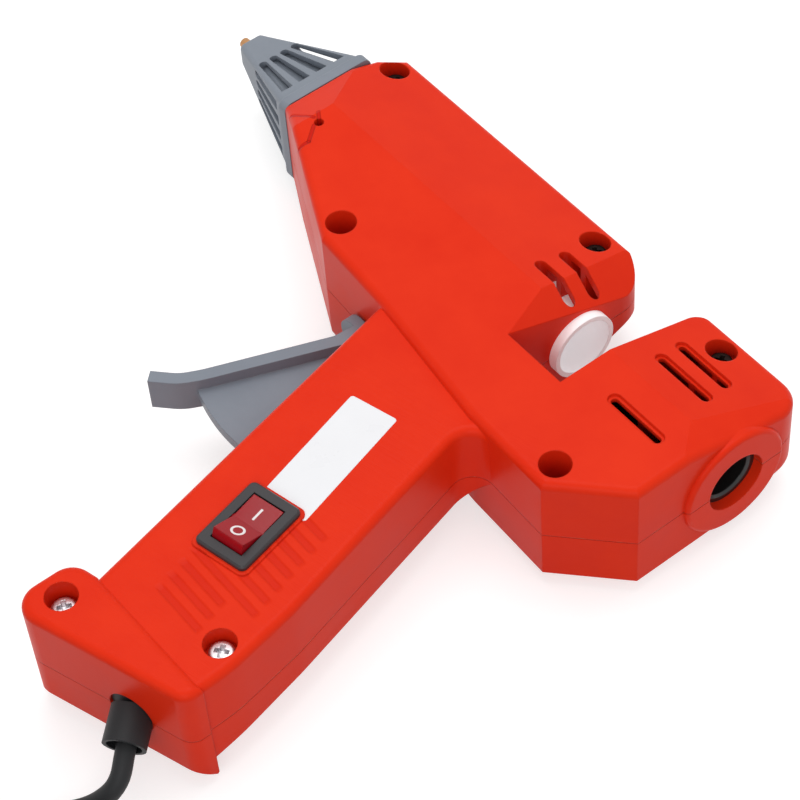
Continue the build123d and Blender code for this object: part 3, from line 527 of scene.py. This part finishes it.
# The white plastic's faint emission is painted light: a glow that brightens the feed sleeve.
white_plastic_painted_glow = finish(
    "white moulded plastic with painted glow", (0.94, 0.935, 0.94), (0.88, 0.875, 0.88), 0.42, grain=900.0,
    grain_depth=0.00006,
    sockets=(("Emission Color", (1.0, 0.98, 1.0, 1.0)), ("Emission Strength", 0.15)))
black_rubber = finish(
    "black cord rubber", (0.024, 0.0245, 0.026), (0.017, 0.0175, 0.019), 0.5,
    sockets=(("Specular IOR Level", 0.22),))
silicone = finish("red-brown silicone", (0.42, 0.09, 0.05), (0.34, 0.07, 0.04), 0.55)
brass = finish(
    "aged turned brass", (0.62, 0.34, 0.16), (0.40, 0.20, 0.09), 0.36, metallic=1.0, grain=900.0)
cast_aluminium = finish(
    "cast aluminium", (0.68, 0.68, 0.69), (0.55, 0.55, 0.56), 0.45, metallic=1.0, grain=700.0,
    grain_depth=0.00008)
zinc_steel = finish(
    "zinc-plated steel", (0.78, 0.78, 0.80), (0.58, 0.58, 0.61), 0.4, metallic=1.0, grain=1200.0)
# Near-black steel for the body screws is painted shade: it darkens the heads deep in their
# recesses.
recess_shade_steel = finish(
    "steel darkened as recess shade", (0.035, 0.026, 0.024), (0.02, 0.015, 0.013), 0.6, metallic=1.0,
    grain=1200.0)
ceramic = finish("fired ceramic", (0.72, 0.69, 0.62), (0.62, 0.6, 0.54), 0.7)
red_lens = finish(
    "red rocker lens", (0.35, 0.004, 0.010), (0.28, 0.003, 0.008), 0.16, scuffs=0.2,
    grain_depth=0.00001, edge=0.0004,
    sockets=(("Specular IOR Level", 0.2), ("Coat Weight", 0.12), ("Coat Roughness", 0.06)))
mark_white = finish("white marking paint", (0.86, 0.80, 0.80), (0.78, 0.72, 0.72), 0.4)
label_paper = finish(
    "white label film", (0.84, 0.84, 0.86), (0.81, 0.81, 0.83), 0.3, grain_depth=0.000008,
    scuffs=0.1)

node_finishes = {
    "left_shell": red_case, "right_shell": red_case, "case_screws": zinc_steel,
    "nozzle_guard": grey_plastic, "nozzle": brass, "melt_chamber": cast_aluminium,
    "heater": ceramic, "heater_spring": zinc_steel, "front_collar": silicone,
    "inlet_collar": silicone, "guide_tube": black_tube, "feed_sleeve": white_plastic_painted_glow,
    "grip_ring": zinc_steel, "trigger": grey_plastic, "pivot_pin": zinc_steel,
    "trigger_spring": zinc_steel, "switch_body": black_plastic, "switch_rocker": red_lens,
    "switch_terminals": brass, "live_lead": black_rubber, "switched_lead": black_rubber,
    "neutral_lead": black_rubber, "cord_clamp": black_plastic, "clamp_screws": zinc_steel,
    "cord_sleeve": black_rubber, "plug_body": black_rubber, "plug_pins": brass,
}
for name, material in node_finishes.items():
    for part_slot in nodes[name].material_slots:
        part_slot.material = material
cord.data.materials.append(black_rubber)


# ---------------------------------------------------------------- small pieces
def loose_object(name, build):
    """Object with a mesh made by a function that fills a bmesh."""
    shape = bmesh.new()
    build(shape)
    mesh = bpy.data.meshes.new(name)
    shape.to_mesh(mesh)
    shape.free()
    thing = bpy.data.objects.new(name, mesh)
    scene.collection.objects.link(thing)
    return thing


def mesh_piece(name, build, material, body):
    """New mesh piece with its finish, riding on a body."""
    piece = loose_object(name, build)
    piece.data.materials.append(material)
    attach(piece, body)
    return piece


def rounded_outline(long, wide, corner, steps=6):
    """Points round a rectangle with rounded corners, about its middle."""
    points = []
    for quarter, (sx, sy) in enumerate(((1, 1), (-1, 1), (-1, -1), (1, -1))):
        for i in range(steps + 1):
            angle = math.pi / 2 * (quarter + i / steps)
            points.append((sx * (long / 2 - corner) + corner * math.cos(angle),
                           sy * (wide / 2 - corner) + corner * math.sin(angle)))
    return points


def join_rings(shape, rings):
    """Faces from each ring of corners to the next; a ring of one corner is a tip."""
    steps = max(len(ring) for ring in rings)
    for low, high in zip(rings, rings[1:]):
        for i in range(steps):
            j = (i + 1) % steps
            corners = [low[i % len(low)], low[j % len(low)],
                       high[j % len(high)], high[i % len(high)]]
            shape.faces.new([c for k, c in enumerate(corners) if c not in corners[:k]])


label_middle = (43.1, -10.2)
label_ends = ((44.7, 9.1), (54.5, -25.5))
label_long, label_wide, label_corner = 36.0, 13.5, 0.8
label_layers = ((0.0, 0.0), (0.0, 0.05), (0.12, 0.09))    # how far in and how high the film is


def label_plate(shape):
    """Thin label film on the grip, its edge rolled down to the case."""
    middle = Vector((*label_middle, grip_face_z))
    upper_end, lower_end = (Vector((*end, 0)) for end in label_ends)
    long_way = (lower_end - upper_end).normalized()
    wide_way = Vector((-long_way.y, long_way.x, 0))
    rings = []
    for shrink, lift in label_layers:
        outline = rounded_outline(label_long - 2 * shrink, label_wide - 2 * shrink, label_corner)
        places = [middle + long_way * u + wide_way * v + Vector((0, 0, lift)) for u, v in outline]
        rings.append([shape.verts.new(place * MM) for place in places])
    join_rings(shape, rings)
    shape.faces.new(rings[-1])
    bmesh.ops.recalc_face_normals(shape, faces=shape.faces)


mesh_piece("rating_label", label_plate, label_paper, "housing")


# ---------------------------------------------------------------- screws
head_radius = 3.2
head_high = 2.3
shank_radius = 1.45
screw_low_z = 6.5
body_screws = [(-53.4, 83.9), (-13.1, 36.1), (28.2, 84.2), (75.0, 84.2), (80.0, 27.8)]
foot_screws = [(36.2, -80.6), (69.1, -60.1)]
body_seat_z = 25.5
foot_seat_z = 31.7
head_wall = 1.0                      # straight part of the head's side
head_roll = 1.1                      # rise of its rounded shoulder
head_flat, head_round = 0.72, 0.28   # shares of the radius inside the shoulder and in it
head_crown = (2.12, 2.24)            # heights where the shoulder ends and halfway in
cross_levels = ((0.75, 0.9, 0.42), (2.6, 2.05, 0.62))   # height, half length, half width
thread_root = 1.08
thread_pitch = 0.9
neck_from = -2.0
tip_radius, tip_long = 0.6, 0.9
first_turn, turn_step = 0.35, 1.1    # how each head is turned, in radians


def lathe(shape, profile, steps=40):
    """Turned skin round the Z axis through (radius, height) points; end points lie on the axis."""
    rings = []
    for radius, height in profile:
        if radius == 0.0:
            rings.append([shape.verts.new((0.0, 0.0, height))])
        else:
            rings.append([shape.verts.new((radius * math.cos(2 * math.pi * i / steps),
                                           radius * math.sin(2 * math.pi * i / steps), height))
                          for i in range(steps)])
    join_rings(shape, rings)
    bmesh.ops.recalc_face_normals(shape, faces=shape.faces)


def cross_cutter(shape):
    """Tapered cross of a driver's point, standing over the screw head."""
    for turn in (0.0, math.pi / 2):
        rings = []
        for height, long, wide in cross_levels:
            ring = []
            for sx, sy in ((1, 1), (-1, 1), (-1, -1), (1, -1)):
                x, y = sx * long, sy * wide
                ring.append(shape.verts.new((x * math.cos(turn) - y * math.sin(turn),
                                             x * math.sin(turn) + y * math.cos(turn), height)))
            rings.append(ring)
        join_rings(shape, rings)
        shape.faces.new(rings[0])
        shape.faces.new(rings[1])
    bmesh.ops.recalc_face_normals(shape, faces=shape.faces)


def recessed_head():
    """Mesh of one pan head with its cross recess."""
    profile = [(0.0, 0.0), (head_radius, 0.0), (head_radius, head_wall)]
    profile += [(head_radius * math.cos(a) * head_round + head_radius * head_flat,
                 head_wall + head_roll * math.sin(a))
                for a in (math.pi / 2 * k / 6 for k in range(1, 6))]
    profile += [(head_radius * head_flat, head_crown[0]), (head_radius * 0.4, head_crown[1]),
                (0.0, head_high)]
    head = loose_object("head_blank", lambda shape: lathe(shape, profile))
    cutter = loose_object("driver_point", cross_cutter)
    cut = head.modifiers.new("cross", "BOOLEAN")
    cut.operation = "DIFFERENCE"
    cut.solver = "EXACT"
    cut.use_self = True
    cut.object = cutter
    bpy.context.view_layer.update()
    evaluated = head.evaluated_get(bpy.context.evaluated_depsgraph_get())
    mesh = bpy.data.meshes.new_from_object(evaluated)
    for thing in (head, cutter):
        old = thing.data
        bpy.data.objects.remove(thing)
        bpy.data.meshes.remove(old)
    return mesh


def threaded_shank(shape, length):
    """Shank below the head: point, thread crests and plain neck, from the seat down."""
    profile = [(0.0, -length), (tip_radius, -length + tip_long)]
    height = -length + 1.2
    while height < -2.6:
        profile += [(thread_root, height), (shank_radius, height + 0.35),
                    (thread_root, height + 0.7)]
        height += thread_pitch
    profile += [(shank_radius, neck_from), (shank_radius, 0.0), (0.0, 0.0)]
    lathe(shape, profile, 20)


def screw_set(shape):
    """All the case screws, each head turned as it was driven home."""
    head = recessed_head()
    for number, (x, y) in enumerate(body_screws + foot_screws):
        seat_z = foot_seat_z if (x, y) in foot_screws else body_seat_z
        before = set(shape.verts)
        old_faces = set(shape.faces)
        shape.from_mesh(head)
        threaded_shank(shape, seat_z - screw_low_z)
        turn = Matrix.Rotation(first_turn + turn_step * number, 4, "Z")
        place = Matrix.Translation(mm(x, y, seat_z)) @ turn @ Matrix.Scale(MM, 4)
        fresh = [v for v in shape.verts if v not in before]
        bmesh.ops.transform(shape, matrix=place, verts=fresh)
        for face in shape.faces:
            if face not in old_faces:
                # Body screws take the near-black steel, painted shade in their recesses; foot
                # screws stay zinc-plated.
                face.material_index = 1 if (x, y) in body_screws else 0
    bpy.data.meshes.remove(head)


screws = mesh_piece("cross_head_screws", screw_set, zinc_steel, "housing")
screws.data.materials.append(recess_shade_steel)
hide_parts("case_screws")

# ---------------------------------------------------------------- rocker marks
rocker_pivot_z = 37.4
rocker_drop = 1.5
rocker_lean = math.radians(20.0)
rocker_half = 9.0                    # from the shaft to either end
rocker_rise = 0.3                    # of the pressed end over the middle
rocker_lift = 0.5                    # of the raised end, beside what its lean gives
rocker_middle_z = rocker_pivot_z + rocker_drop - rocker_rise
ring_steps = 40
ring_at = -3.3
ring_loops = ((1.75, 0.0), (1.7, 0.05), (1.2, 0.05), (1.15, 0.0))    # radius, height
bar_at = 3.4
bar_long, bar_wide, bar_corner = 3.6, 0.62, 0.15
bar_loops = ((0.0, 0.0), (0.05, 0.05))                               # how far in, height


def rocker_top(along):
    """Height of the rocker's face at a distance along it from the shaft."""
    if along > 0.0:
        return rocker_middle_z + along * rocker_rise / rocker_half
    end_rise = rocker_lift + rocker_half * math.tan(rocker_lean)
    return rocker_middle_z - along * end_rise / rocker_half


def rocker_spot(along, across, lift):
    """Point on the rocker's face, in metres."""
    flat = Vector((*bezel_centre, 0.0)) + along_grip * along + across_grip * across
    return (flat + Vector((0.0, 0.0, rocker_top(along) + lift))) * MM


def ring_mark(shape):
    """Round off mark on the raised end of the rocker."""
    angles = [2 * math.pi * i / ring_steps for i in range(ring_steps)]
    loops = []
    for radius, lift in ring_loops:
        spots = [rocker_spot(ring_at + radius * math.cos(a), radius * math.sin(a), lift)
                 for a in angles]
        loops.append([shape.verts.new(spot) for spot in spots])
    join_rings(shape, loops)
    bmesh.ops.recalc_face_normals(shape, faces=shape.faces)


def bar_mark(shape):
    """Straight on mark on the pressed end of the rocker."""
    loops = []
    for shrink, lift in bar_loops:
        outline = rounded_outline(bar_long - 2 * shrink, bar_wide - 2 * shrink, bar_corner, 3)
        loops.append([shape.verts.new(rocker_spot(bar_at + u, v, lift)) for u, v in outline])
    join_rings(shape, loops)
    shape.faces.new(loops[1])
    bmesh.ops.recalc_face_normals(shape, faces=shape.faces)


for name, build in (("off_mark", ring_mark), ("on_mark", bar_mark)):
    mesh_piece(name, build, mark_white, "rocker")


# ---------------------------------------------------------------- floor and light
floor_half = 4.0
floor_grey = 0.55
floor_glow = 0.62
surround = 0.62
lamps = (("overhead", (-0.15, 0.25, 1.3), 0.9, 7.0),         # name, place, size, power
         ("handle side", (0.9, -0.9, 0.9), 0.7, 4.0))
lamp_aim = (0.0, 0.0, 0.02)


def seen_plainly(tree):
    """1 for rays that look straight, by reflection or through glass, and 0 for light."""
    path = tree.nodes.new("ShaderNodeLightPath")
    seen = math_node(tree, "MAXIMUM", path.outputs["Is Camera Ray"], path.outputs["Is Glossy Ray"])
    return math_node(tree, "MAXIMUM", seen, path.outputs["Is Transmission Ray"])


def floor_sheet(shape):
    """One level square."""
    shape.faces.new([shape.verts.new((x * floor_half, y * floor_half, 0.0))
                     for x, y in ((-1, -1), (1, -1), (1, 1), (-1, 1))])


def make_floor():
    """Plain pale floor that reads as white and keeps the object's shadow."""
    floor = loose_object("floor", floor_sheet)
    material = bpy.data.materials.new("pale floor")
    material.use_nodes = True
    tree = material.node_tree
    shader = tree.nodes["Principled BSDF"]
    shader.inputs["Base Color"].default_value = (floor_grey, floor_grey, floor_grey, 1.0)
    shader.inputs["Roughness"].default_value = 0.9
    shader.inputs["Specular IOR Level"].default_value = 0.1
    shader.inputs["Emission Color"].default_value = (1.0, 1.0, 1.0, 1.0)
    tree.links.new(times(tree, seen_plainly(tree), floor_glow), shader.inputs["Emission Strength"])
    floor.data.materials.append(material)


def make_light():
    """Soft overhead light, a fill from the handle side and an even white surround."""
    world = bpy.data.worlds.new("studio")
    scene.world = world
    world.use_nodes = True
    tree = world.node_tree
    backdrop = tree.nodes["Background"]
    strength = ramp(tree, seen_plainly(tree), 0.0, 1.0, surround, 1.0)
    tree.links.new(strength, backdrop.inputs["Strength"])
    backdrop.inputs["Color"].default_value = (1.0, 1.0, 1.0, 1.0)
    for name, place, size, power in lamps:
        data = bpy.data.lights.new(name, "AREA")
        data.size = size
        data.energy = power
        lamp = bpy.data.objects.new(name, data)
        lamp.location = place
        aim = Vector(lamp_aim) - Vector(place)
        lamp.rotation_euler = aim.to_track_quat("-Z", "Y").to_euler()
        scene.collection.objects.link(lamp)


make_floor()
make_light()

bpy.context.view_layer.update()
